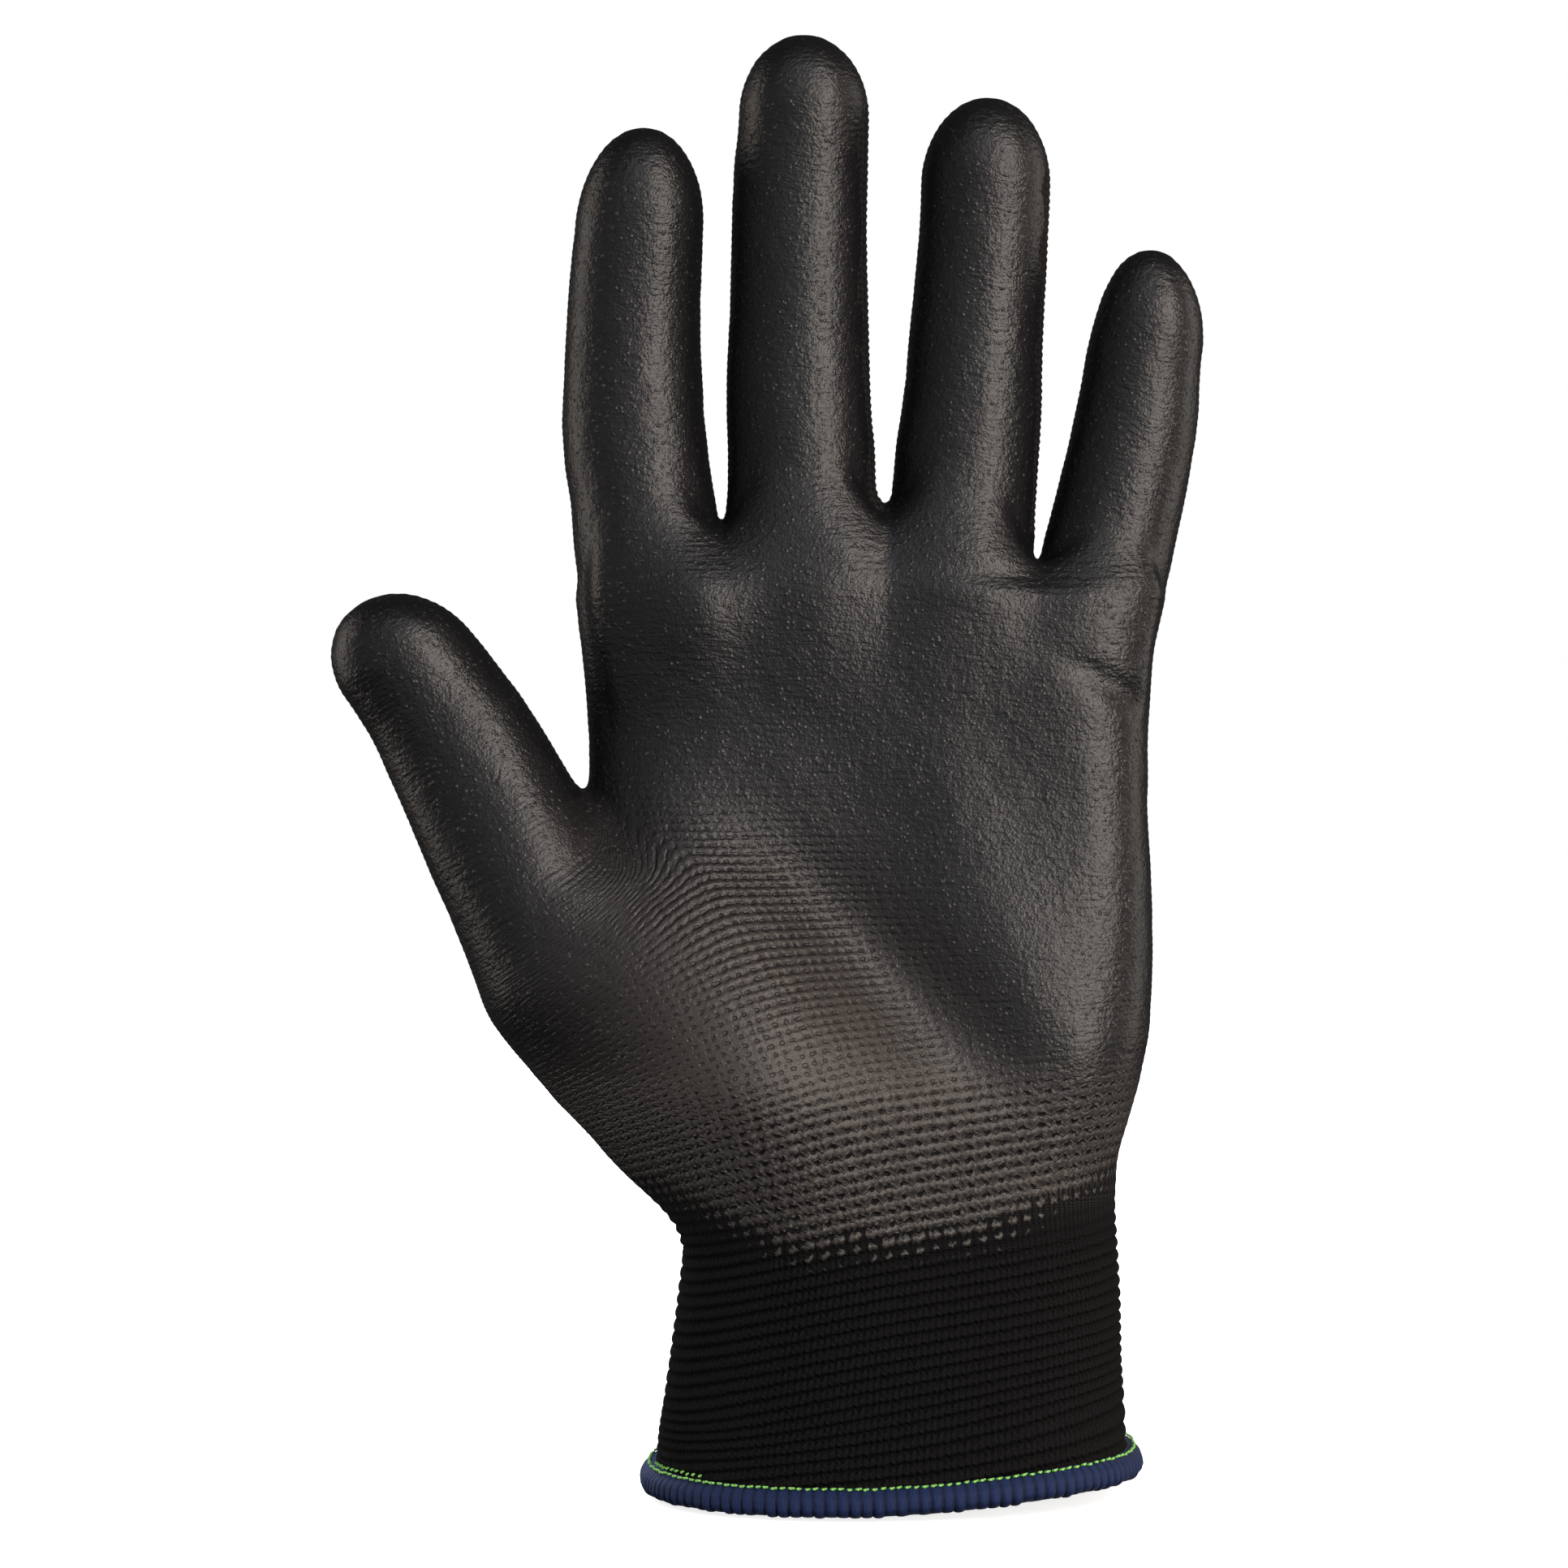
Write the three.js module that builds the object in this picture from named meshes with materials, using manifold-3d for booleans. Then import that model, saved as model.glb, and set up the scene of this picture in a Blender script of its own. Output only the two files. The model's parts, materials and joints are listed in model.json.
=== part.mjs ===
// Cut resistant work glove: a seamless knit liner with a thin polyurethane film on the palm side,
// an elastic knit cuff and an overlocked hem. Left-pointing thumb, palm facing -Y, fingers up +Z.
// Millimetres. The origin is the centre of the hem opening, where the forearm leaves the glove.
//
// The liner is one hollow skin. It is built as sleeves (rigid between joints) and folds (the knit
// that bends at each joint). The film is bonded to the palm side of every sleeve.

import * as THREE from 'three';
import { mergeVertices } from 'three/addons/utils/BufferGeometryUtils.js';
import Module from 'manifold-3d';

const wasm = await Module();
wasm.setup();

// ---- driving dimensions -------------------------------------------------------------------

const FILM = 0.5; // polyurethane film
const GAP = 0.3; // clearance between touching pieces
const KNIT = 1.2; // liner wall
const LINER_OUT = -(FILM + GAP); // liner's outer surface, measured from the glove's outer surface
const LINER_IN = LINER_OUT - KNIT; // liner's inner surface
const CUFF_WALL = 1.6; // thicker rib knit of the cuff
const ELASTIC = 0.4; // laid-in elastic, as a band against the inside of the cuff

const WRIST_Z = 41.6; // height of the wrist crease
const WRIST_HALF = 10; // half height of the knit that folds at the wrist
const HEM_HEIGHT = 4.6;
const HEM_FLOOR = 1.2; // binding thread under the cuff's edge
const HEM_WALL = 2; // binding thread outside the cuff
const HEM_INNER_WALL = 1; // binding thread inside the cuff
const NEEDLE_THREAD = 0.45; // radius of the hem's needle thread

const FILM_WRAP = 2; // how far the film reaches round the sides, in Y
const TIP_DIP = 11; // length of fingertip that the film covers all round

const HAND_SQUARE = 2.3; // exponent of the hand's oval: 2 is an ellipse, more is flatter
const DIGIT_SQUARE = 2.1; // the same for a digit
const TIP_TAPER = 0.5; // how much narrower a digit is where its rounded tip starts
const TIP_TURNS = [0, 30, 60, 83]; // rows of the rounded tip, in degrees

const SIDES = 10; // facets round a digit
const PALM_SIDES = 20; // facets round the hand and cuff

// Sections of the hand from hem to finger crotches: height, left edge, right edge, half depth.
const HAND = [
  { z: -6.4, left: -39.2, right: 39.4, half: 25 },
  { z: 7.6, left: -38.6, right: 38.9, half: 24.5 },
  { z: 31.6, left: -35.8, right: 37.4, half: 23 },
  { z: 41.6, left: -34.6, right: 37.2, half: 22.2 },
  { z: 53.6, left: -38.6, right: 37.6, half: 21.3 },
  { z: 69.6, left: -43.5, right: 41.2, half: 19.8 },
  { z: 89.6, left: -47.6, right: 43.3, half: 17.8 },
  { z: 112.6, left: -50.1, right: 42.5, half: 16.2 },
  { z: 130.6, left: -50.6, right: 42.8, half: 14.9 },
  { z: 144.6, left: -52, right: 44.6, half: 13.6 },
  { z: 151.6, left: -52.8, right: 46.2, half: 12.6 },
];
// The rounded web between the fingers, lower at the little finger.
const WEB = [
  { z: 155.1, left: -52.4, right: 43, half: 11.4 },
  { z: 158.6, left: -51.4, right: 33, half: 8.6 },
  { z: 160.6, left: -49, right: 27, half: 3 },
];

// Each digit: stations along its middle line from inside the hand to the tip, and its joints.
// x, y, z is the middle line; wide and deep are half sizes. fold is half the length that folds.
const DIGITS = [
  {
    name: 'index',
    stations: [
      { x: -38.4, y: 0, z: 135.6, wide: 9, deep: 7.6 },
      { x: -41.8, y: 0, z: 168.6, wide: 12.2, deep: 11 },
      { x: -42.6, y: -0.6, z: 189.6, wide: 11.3, deep: 10.4 },
      { x: -42.1, y: -2, z: 207.6, wide: 10.9, deep: 9.8 },
    ],
    tip: { x: -40.9, y: -4.6, z: 225.1 },
    joints: [{ name: 'root', z: 169.1, fold: 5.5 }, { name: 'middle', z: 190.6, fold: 6 },
      { name: 'end', z: 209.1, fold: 3.8 }],
  },
  {
    name: 'middle',
    stations: [
      { x: -14.2, y: 0, z: 135.6, wide: 9, deep: 9 },
      { x: -14.9, y: 0, z: 170.6, wide: 12.2, deep: 11.2 },
      { x: -15.3, y: -0.6, z: 195.6, wide: 11.6, deep: 10.6 },
      { x: -15.1, y: -2.2, z: 219.6, wide: 10.9, deep: 10 },
    ],
    tip: { x: -14.6, y: -5, z: 240.3 },
    joints: [{ name: 'root', z: 170.1, fold: 5.5 }, { name: 'middle', z: 195.6, fold: 6.2 },
      { name: 'end', z: 218.1, fold: 3.9 }],
  },
  {
    name: 'ring',
    stations: [
      { x: 10.6, y: 0, z: 135.6, wide: 9, deep: 9 },
      { x: 12.3, y: 0, z: 168.6, wide: 11.9, deep: 11 },
      { x: 14.2, y: -0.6, z: 191.6, wide: 11, deep: 10.3 },
      { x: 15.4, y: -2, z: 211.6, wide: 10.6, deep: 9.8 },
    ],
    tip: { x: 16.2, y: -4.8, z: 230.1 },
    joints: [{ name: 'root', z: 168.6, fold: 5.5 }, { name: 'middle', z: 192.1, fold: 6 },
      { name: 'end', z: 212.1, fold: 3.8 }],
  },
  {
    name: 'little',
    stations: [
      { x: 31, y: 0, z: 131.6, wide: 8, deep: 7.6 },
      { x: 37.6, y: 0, z: 161.6, wide: 10.6, deep: 10 },
      { x: 40.9, y: -0.6, z: 177.6, wide: 10, deep: 9.2 },
      { x: 42.6, y: -1.6, z: 190.6, wide: 9.3, deep: 8.8 },
    ],
    tip: { x: 43.1, y: -3.6, z: 205 },
    joints: [{ name: 'root', z: 161.6, fold: 5.2 }, { name: 'middle', z: 178.1, fold: 5.2 },
      { name: 'end', z: 192.1, fold: 3.4 }],
  },
  {
    name: 'thumb',
    stations: [
      { x: -20, y: -3, z: 45.6, wide: 11.5, deep: 13 },
      { x: -37.5, y: -4.6, z: 68.6, wide: 17, deep: 16.4 },
      { x: -51.5, y: -5.4, z: 86.6, wide: 16.2, deep: 15.6 },
      { x: -61, y: -5.4, z: 103.1, wide: 13.9, deep: 13 },
      { x: -69, y: -5.8, z: 118.6, wide: 12.2, deep: 11.4 },
      { x: -77.4, y: -7, z: 134.6, wide: 11.3, deep: 10.4 },
    ],
    tip: { x: -83, y: -8.6, z: 148.2 },
    joints: [{ name: 'root', z: 113.1, fold: 6.2 }, { name: 'end', z: 131.1, fold: 4.6 }],
  },
];
const HALVINGS = 40; // steps of a search by halving
const WELD = 1e-4; // corners closer than this are one
const FAR = 400; // larger than the glove, for cutting boxes

// ---- solids -------------------------------------------------------------------------------

// A closed three.js geometry as a solid that can be joined and cut.
function toSolid(geometry) {
  const bare = geometry.index ? geometry.toNonIndexed() : geometry.clone();
  bare.deleteAttribute('normal');
  bare.deleteAttribute('uv');
  const merged = mergeVertices(bare, WELD);
  const corner = merged.index.array;
  const triangles = [];
  for (let i = 0; i < corner.length; i += 3) {
    const [a, b, c] = [corner[i], corner[i + 1], corner[i + 2]];
    if (a !== b && b !== c && c !== a) triangles.push(a, b, c);
  }
  return new wasm.Manifold(new wasm.Mesh({
    numProp: 3,
    vertProperties: new Float32Array(merged.attributes.position.array),
    triVerts: new Uint32Array(triangles),
  }));
}

function toGeometry(solid) {
  const mesh = solid.getMesh();
  const geometry = new THREE.BufferGeometry();
  geometry.setAttribute('position', new THREE.BufferAttribute(mesh.vertProperties, 3));
  geometry.setIndex(new THREE.BufferAttribute(mesh.triVerts, 1));
  return geometry;
}

// A tube closed at both ends: a lathe of unit radius whose rows are moved onto oval sections.
// A section has a centre, across (unit width direction), wide and deep (half sizes, depth in Y)
// and square, the exponent that flattens the oval's faces.
function oval(sections, sides) {
  const last = sections.length - 1;
  const profile = [new THREE.Vector2(0, 0)];
  for (let row = 0; row <= last; row++) profile.push(new THREE.Vector2(1, row));
  profile.push(new THREE.Vector2(0, last));
  const geometry = new THREE.LatheGeometry(profile, sides);
  const position = geometry.attributes.position;
  const point = new THREE.Vector3();
  for (let i = 0; i < position.count; i++) {
    point.fromBufferAttribute(position, i);
    const { centre, across, wide, deep, square } = sections[Math.round(point.y)];
    const power = 2 / square;
    const side = Math.sign(point.x) * Math.abs(point.x) ** power;
    const front = Math.sign(point.z) * Math.abs(point.z) ** power;
    const depth = new THREE.Vector3(0, -1, 0);
    point.copy(centre).addScaledVector(across, side * wide).addScaledVector(depth, front * deep);
    position.setXYZ(i, point.x, point.y, point.z);
  }
  return toSolid(geometry);
}

// The hand and cuff, moved in or out by offset.
function handSolid(offset) {
  const section = ({ z, left, right, half }, rise) => ({
    centre: new THREE.Vector3((left + right) / 2, 0, z + rise),
    across: new THREE.Vector3(1, 0, 0),
    wide: (right - left) / 2 + offset,
    deep: half + offset,
    square: HAND_SQUARE,
  });
  const sections = HAND.map((at) => section(at, 0)).concat(WEB.map((at) => section(at, offset)));
  return oval(sections, PALM_SIDES);
}

const middleLine = (digit) => new THREE.CatmullRomCurve3(
  [...digit.stations, digit.tip].map(({ x, y, z }) => new THREE.Vector3(x, y, z)),
);

// A digit from inside the hand to its rounded tip, moved in or out by offset.
function digitSolid(digit, offset) {
  const { stations, tip } = digit;
  const line = middleLine(digit);
  const facing = new THREE.Vector3(0, 1, 0);
  const sections = [];
  const add = (centre, direction, wide, deep) => sections.push({
    centre,
    across: new THREE.Vector3().crossVectors(facing, direction).normalize(),
    wide,
    deep,
    square: DIGIT_SQUARE,
  });
  const spans = stations.length;
  stations.slice(0, -1).forEach(({ wide, deep }, i) => {
    add(line.getPoint(i / spans), line.getTangent(i / spans), wide + offset, deep + offset);
  });
  const start = stations[spans - 1];
  const base = new THREE.Vector3(start.x, start.y, start.z);
  const toTip = new THREE.Vector3(tip.x, tip.y, tip.z).sub(base);
  const reach = toTip.length() + offset;
  const direction = toTip.normalize();
  const straight = Math.max(reach - start.wide, 0) / reach; // part before the dome
  const wide = start.wide - TIP_TAPER + offset;
  const deep = start.deep - TIP_TAPER + offset;
  for (const turn of TIP_TURNS.map(THREE.MathUtils.degToRad)) {
    const along = reach * (straight + (1 - straight) * Math.sin(turn));
    const size = Math.cos(turn);
    add(base.clone().addScaledVector(direction, along), direction, wide * size, deep * size);
  }
  return oval(sections, SIDES);
}

const box = (low, high) => {
  const size = high.map((value, i) => value - low[i]);
  const geometry = new THREE.BoxGeometry(...size);
  geometry.translate(...high.map((value, i) => (value + low[i]) / 2));
  return toSolid(geometry);
};

// Everything between two distances along a line through `from` in `direction`.
function slab(from, direction, low, high) {
  const geometry = new THREE.BoxGeometry(FAR, FAR, high - low);
  geometry.translate(0, 0, (high + low) / 2);
  const turn = new THREE.Quaternion().setFromUnitVectors(new THREE.Vector3(0, 0, 1), direction);
  geometry.applyQuaternion(turn);
  geometry.translate(from.x, from.y, from.z);
  return toSolid(geometry);
}

const layer = (low, high) => box([-FAR, -FAR, low], [FAR, FAR, high]);
const palmSide = box([-FAR, -FAR, -FAR], [FAR, FILM_WRAP, FAR]);

// ---- materials and nodes ------------------------------------------------------------------

const glove = new THREE.Group();
const LOOKS = {
  liner: { color: 0x1b1b1d, roughness: 0.95 },
  coating: { color: 0x141415, roughness: 0.45 },
  cuff: { color: 0x151517, roughness: 0.97 },
  elastic: { color: 0x202022, roughness: 0.9 },
  binding: { color: 0x16233f, roughness: 0.9 },
  needle_thread: { color: 0x7fd64a, roughness: 0.6 },
};

function addPiece(name, look, solid) {
  const material = new THREE.MeshStandardMaterial({ ...LOOKS[look], metalness: 0 });
  const mesh = new THREE.Mesh(toGeometry(solid), material);
  mesh.name = name;
  glove.add(mesh);
}

// ---- digits -------------------------------------------------------------------------------

// Where the middle line passes a height, found by halving.
function crossing(digit, height) {
  const line = middleLine(digit);
  let [low, high] = [0, 1];
  for (let i = 0; i < HALVINGS; i++) {
    const middle = (low + high) / 2;
    if (line.getPoint(middle).z < height) low = middle;
    else high = middle;
  }
  return line.getPoint(low);
}

// Joints bend the digit in the plane of its first and last joints' line and the Y axis.
function frameOf(digit) {
  const centres = digit.joints.map(({ z }) => crossing(digit, z));
  const across = centres[centres.length - 1].clone().sub(centres[0]);
  const direction = new THREE.Vector3(across.x, 0, across.z).normalize();
  const origin = centres[0];
  return { origin, direction, at: centres.map((c) => c.clone().sub(origin).dot(direction)) };
}

const stubs = { film: [], filmInner: [], liner: [], hollow: [] };
const foldRoom = []; // space that the first fold of each digit and everything beyond it takes

for (const digit of DIGITS) {
  const { origin: centre, direction, at } = frameOf(digit);
  const cut = (low, high) => slab(centre, direction, low, high);
  const film = digitSolid(digit, 0);
  const filmInner = digitSolid(digit, -FILM);
  const liner = digitSolid(digit, LINER_OUT);
  const hollow = digitSolid(digit, LINER_IN);
  const sleeve = liner.subtract(hollow);
  const skin = film.subtract(filmInner);
  const full = film.subtract(hollow);
  const reach = new THREE.Vector3(digit.tip.x, digit.tip.y, digit.tip.z).sub(centre).dot(direction);
  const dipped = palmSide.add(cut(reach - TIP_DIP, FAR));
  const parts = digit.joints.length === 3 ? ['base', 'mid', 'tip'] : ['base', 'tip'];

  digit.joints.forEach(({ name, fold }, i) => {
    const low = at[i] + fold + GAP;
    const next = digit.joints[i + 1];
    const high = next ? at[i + 1] - next.fold - GAP : FAR;
    const stretch = cut(low, high);
    addPiece(`${digit.name}_${parts[i]}_sleeve`, 'liner', sleeve.intersect(stretch));
    addPiece(`${digit.name}_${parts[i]}_coating`, 'coating', skin.intersect(stretch).intersect(dipped));
    const bend = cut(at[i] - fold, at[i] + fold);
    addPiece(`${digit.name}_${name}_fold`, 'liner', full.intersect(bend));
  });

  const rootEdge = -digit.joints[0].fold - GAP;
  const below = cut(-FAR / 2, rootEdge);
  foldRoom.push(digitSolid(digit, GAP).intersect(cut(rootEdge, FAR)));
  stubs.film.push(film.intersect(below));
  stubs.filmInner.push(filmInner);
  stubs.liner.push(liner.intersect(below));
  stubs.hollow.push(hollow);
}

// ---- hand, wrist and cuff -----------------------------------------------------------------

const joined = (first, others) => others.reduce((sum, next) => sum.add(next), first);
const wristTop = WRIST_Z + WRIST_HALF;
const wristBottom = WRIST_Z - WRIST_HALF;
const aboveWrist = layer(wristTop + GAP, FAR);

// Inner solids run on past the first joints, so the finger holes stay open.
const handLiner = joined(handSolid(LINER_OUT), stubs.liner);
const handHollow = joined(handSolid(LINER_IN), stubs.hollow);
const handFilm = joined(handSolid(0), stubs.film);
const handFilmInner = joined(handSolid(-FILM), stubs.filmInner);
const cleared = (solid) => foldRoom.reduce((rest, room) => rest.subtract(room), solid);
addPiece('palm_sleeve', 'liner', cleared(handLiner.subtract(handHollow).intersect(aboveWrist)));
addPiece('palm_coating', 'coating',
  cleared(handFilm.subtract(handFilmInner).intersect(aboveWrist).intersect(palmSide)));

const wristKnit = handFilm.subtract(handHollow);
addPiece('wrist_fold', 'liner', wristKnit.intersect(layer(wristBottom, wristTop)));

const cuffHollow = handSolid(-CUFF_WALL);
const cuffLayer = layer(HEM_FLOOR + GAP, wristBottom - GAP);
addPiece('cuff_knit', 'cuff', handSolid(0).subtract(cuffHollow).intersect(cuffLayer));

const elasticLayer = layer(HEM_HEIGHT + GAP, wristBottom - GAP);
const elastic = handSolid(-CUFF_WALL - GAP).subtract(handSolid(-CUFF_WALL - GAP - ELASTIC));
addPiece('cuff_elastic_band', 'elastic', elastic.intersect(elasticLayer));

// The overlock thread wraps the cuff's edge: outside wall, floor and inside wall.
const hemOuter = handSolid(GAP + HEM_WALL).subtract(handSolid(GAP));
const hemInner = handSolid(-CUFF_WALL - GAP).subtract(handSolid(-CUFF_WALL - GAP - HEM_INNER_WALL));
const hemWalls = hemOuter.add(hemInner).intersect(layer(0, HEM_HEIGHT));
const hemWhole = handSolid(GAP + HEM_WALL).subtract(handSolid(-CUFF_WALL - GAP - HEM_INNER_WALL));
addPiece('hem_binding', 'binding', hemWalls.add(hemWhole.intersect(layer(0, HEM_FLOOR))));

const threadBottom = HEM_HEIGHT + GAP;
const thread = handSolid(GAP + 2 * NEEDLE_THREAD).subtract(handSolid(GAP));
addPiece('hem_needle_thread', 'needle_thread',
  thread.intersect(layer(threadBottom, threadBottom + 2 * NEEDLE_THREAD)));

export default glove;
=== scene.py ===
"""Cut resistant glove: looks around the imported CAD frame. Shapes are worked out in millimetres."""
import json
import math

import bpy
import numpy as np
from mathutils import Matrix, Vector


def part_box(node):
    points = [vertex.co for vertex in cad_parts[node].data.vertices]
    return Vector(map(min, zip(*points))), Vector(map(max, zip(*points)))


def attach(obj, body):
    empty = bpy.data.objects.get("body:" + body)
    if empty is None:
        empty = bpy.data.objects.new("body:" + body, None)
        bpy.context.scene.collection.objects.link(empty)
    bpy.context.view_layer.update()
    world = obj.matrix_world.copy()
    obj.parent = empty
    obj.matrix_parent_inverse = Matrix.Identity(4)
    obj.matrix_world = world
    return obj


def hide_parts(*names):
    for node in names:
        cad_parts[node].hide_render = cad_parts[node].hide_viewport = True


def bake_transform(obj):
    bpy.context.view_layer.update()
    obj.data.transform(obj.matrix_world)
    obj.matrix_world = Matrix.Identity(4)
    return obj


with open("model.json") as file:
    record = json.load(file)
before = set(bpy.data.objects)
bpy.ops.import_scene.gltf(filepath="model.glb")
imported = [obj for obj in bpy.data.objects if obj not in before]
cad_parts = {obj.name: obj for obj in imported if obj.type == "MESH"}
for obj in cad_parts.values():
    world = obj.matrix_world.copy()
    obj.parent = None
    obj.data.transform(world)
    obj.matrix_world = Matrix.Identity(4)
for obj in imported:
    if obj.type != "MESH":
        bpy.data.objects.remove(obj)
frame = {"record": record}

import openvdb
from mathutils import Vector

MM = 0.001
TAU = 2 * math.pi
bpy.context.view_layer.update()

# ---- driving sizes, mm ----

VOXEL = 0.76  # first surface of the hand, halved once more below
INNER_VOXEL = 2.4
WALL = 1.6  # knit and film together

WALES = 112  # columns of stitches round the hand and cuff
WALE = 1.85  # width of one column of stitches on a digit
COURSE = 1.3  # height of one row of stitches on the palm
FINGER_COURSE = 1.2  # rows are closer on the digits
CUFF_COURSE = 2.07  # a row of laid-in elastic and the row of stitches beside it
CUFF_TILT = 0.14  # how much the cuff's rows rise towards the little finger
RIDGE = 0.5  # height of the cuff's ridges

RISE = 18.0  # half of the length that bends at the wrist
RIDGE_ROWS = 6  # rows of mesh to one ridge of the cuff
CUFF_COLUMNS = 520

JOINTS = {j["name"]: j for j in frame["record"]["behaviour"]["joints"]}
WRIST = JOINTS["wrist_bend"]["pos_m"][2] / MM
HAND_LOW = WRIST + RISE  # above this the hand's surface, below it the cuff's rows
HEM_LOW, HEM_HIGH = (corner[2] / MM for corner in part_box("hem_binding"))


def spline(xs, ys):
    """A smooth curve through (xs, ys), as a function that works on arrays. Flat beyond its ends."""
    xs, ys = np.asarray(xs, float), np.asarray(ys, float)
    h = np.diff(xs)
    slope = np.diff(ys) / h
    n = len(xs)
    m = np.zeros(n)
    m[0], m[-1] = slope[0], slope[-1]
    for i in range(1, n - 1):
        if slope[i - 1] * slope[i] > 0:
            a, b = 2 * h[i] + h[i - 1], h[i] + 2 * h[i - 1]
            m[i] = (a + b) / (a / slope[i - 1] + b / slope[i])
    fine = np.linspace(xs[0], xs[-1], 400)
    k = np.clip(np.searchsorted(xs, fine) - 1, 0, n - 2)
    t = (fine - xs[k]) / h[k]
    value = (
        (1 + 2 * t) * (1 - t) ** 2 * ys[k]
        + t * (1 - t) ** 2 * h[k] * m[k]
        + t * t * (3 - 2 * t) * ys[k + 1]
        + t * t * (t - 1) * h[k] * m[k + 1]
    )
    return lambda x: np.interp(x, fine, value)


def smooth(low, high, x):
    """0 below low, 1 above high, with a smooth step between."""
    t = np.clip((x - low) / (high - low), 0, 1)
    return t * t * (3 - 2 * t)


def bump(x, z, place):
    """A smooth mound at points: place is (x, z, size along, size across, turn in degrees)."""
    cx, cz, along, across, turn = place
    c, s = math.cos(math.radians(turn)), math.sin(math.radians(turn))
    a = ((x - cx) * c + (z - cz) * s) / along
    b = ((z - cz) * c - (x - cx) * s) / across
    return np.exp(-0.5 * (a * a + b * b))


# ---- seeded noise ----

LATTICE = 32
NOISE = np.random.RandomState(7).uniform(-1, 1, (LATTICE, LATTICE, LATTICE)).astype(np.float32)


def noise(p, size, shift=0.0):
    """Smooth noise from -1 to 1 at points p (n, 3), with features about size mm across."""
    q = p / size + shift
    base = np.floor(q).astype(int)
    f = (q - base).astype(np.float32)
    f = f * f * (3 - 2 * f)
    total = 0
    for corner in np.ndindex(2, 2, 2):
        i = (base + corner) % LATTICE
        weight = np.where(corner, f, 1 - f)
        total = total + weight[:, 0] * weight[:, 1] * weight[:, 2] * NOISE[i[:, 0], i[:, 1], i[:, 2]]
    return total


# ---- the hand's shape ----

# Height, left edge, right edge and half depth of the hand and cuff without the thumb.
HAND = np.array([
    (-4.4, -39.5, 39.6, 25.2),
    (9.1, -38.5, 38.6, 24.6),
    (17.2, -37.3, 38.2, 24.0),
    (25.3, -36.2, 37.9, 23.4),
    (33.4, -35.2, 37.7, 22.8),
    (41.5, -34.4, 37.3, 22.2),
    (47.6, -35.6, 37.1, 21.8),
    (53.6, -37.6, 37.4, 21.3),
    (61.6, -40.5, 39.2, 20.6),
    (69.6, -43.5, 41.2, 19.8),
    (77.6, -45.8, 42.6, 18.9),
    (89.6, -48.0, 43.1, 17.8),
    (101.6, -49.6, 42.9, 16.9),
    (114.6, -50.1, 42.3, 16.1),
    (122.6, -50.2, 42.3, 15.5),
    (130.6, -50.6, 42.8, 14.9),
    (138.6, -51.3, 43.2, 14.2),
    (146.6, -52.1, 44.6, 13.4),
    (153.6, -52.8, 46.3, 12.6),
])
hand_left = spline(HAND[:, 0], HAND[:, 1])
hand_right = spline(HAND[:, 0], HAND[:, 2])
hand_deep = spline(HAND[:, 0], HAND[:, 3])
HAND_SQUARE = 2.45  # exponent of the hand's oval: 2 is an ellipse, more is flatter
EDGE_SQUARE = 0.9  # how much more it is on the little finger's side
DIGIT_SQUARE = 2.1  # the same exponent for a digit
PALM_FLOW = 7.0  # extra rounding where a finger meets the palm or the back of the hand
BETWEEN = 1.2  # rounding between one finger and the next
FINGER_JOIN = 2.2  # rounding between a finger and the web beside it
THUMB_JOIN = 4.0  # rounding between the thumb and the hand
THUMB_FLOW = 16.0  # extra rounding where the ball of the thumb meets the palm
HAND_DOME = 146.6  # where the hand starts to round over between the fingers
web_top = spline((-60, -28, -2, 12, 24, 34, 60), (161.6, 162.0, 163.2, 161.6, 154.9, 153.0, 151.6))

# Mounds and hollows of the palm: x, z, size along, size across, turn, height.
PALM_RELIEF = (
    (-41, 74, 28, 21, -42, 13.0),  # ball of the thumb
    (-40, 56, 32, 28, 0, 6.5),  # the heel of the hand falls away from the thumb's side
    (2, 103, 30, 13, -40, -3.0),  # hollow beside the ball
    (-6, 90, 20, 6.5, -44, -5.5),  # fold at its foot
    (19, 90, 9, 20, 25, 4.0),  # the palm rises again beyond the fold
    (45, 94, 12, 34, 0, 5.0),  # the little finger's side, flat to its edge
    (-33, 147, 7, 9, 0, 5.0),  # pads under the fingers
    (-10, 153, 7, 8, 0, 1.6),
    (13, 151, 7, 6, 0, 1.4),
    (27, 139, 12, 10, -35, 1.4),
)
# Creases pressed into the palm's surface, in the same form.
CREASES = (
    (18, 151.0, 7, 1.5, -4, -0.7),
    (37, 132.1, 7, 1.9, -30, -1.1),
    (-50, 105.6, 5, 3, 40, -0.8),
)


def mounds(x, z, table):
    """The height of a table of mounds at points."""
    return sum(place[5] * bump(x, z, place[:5]) for place in table)


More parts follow.
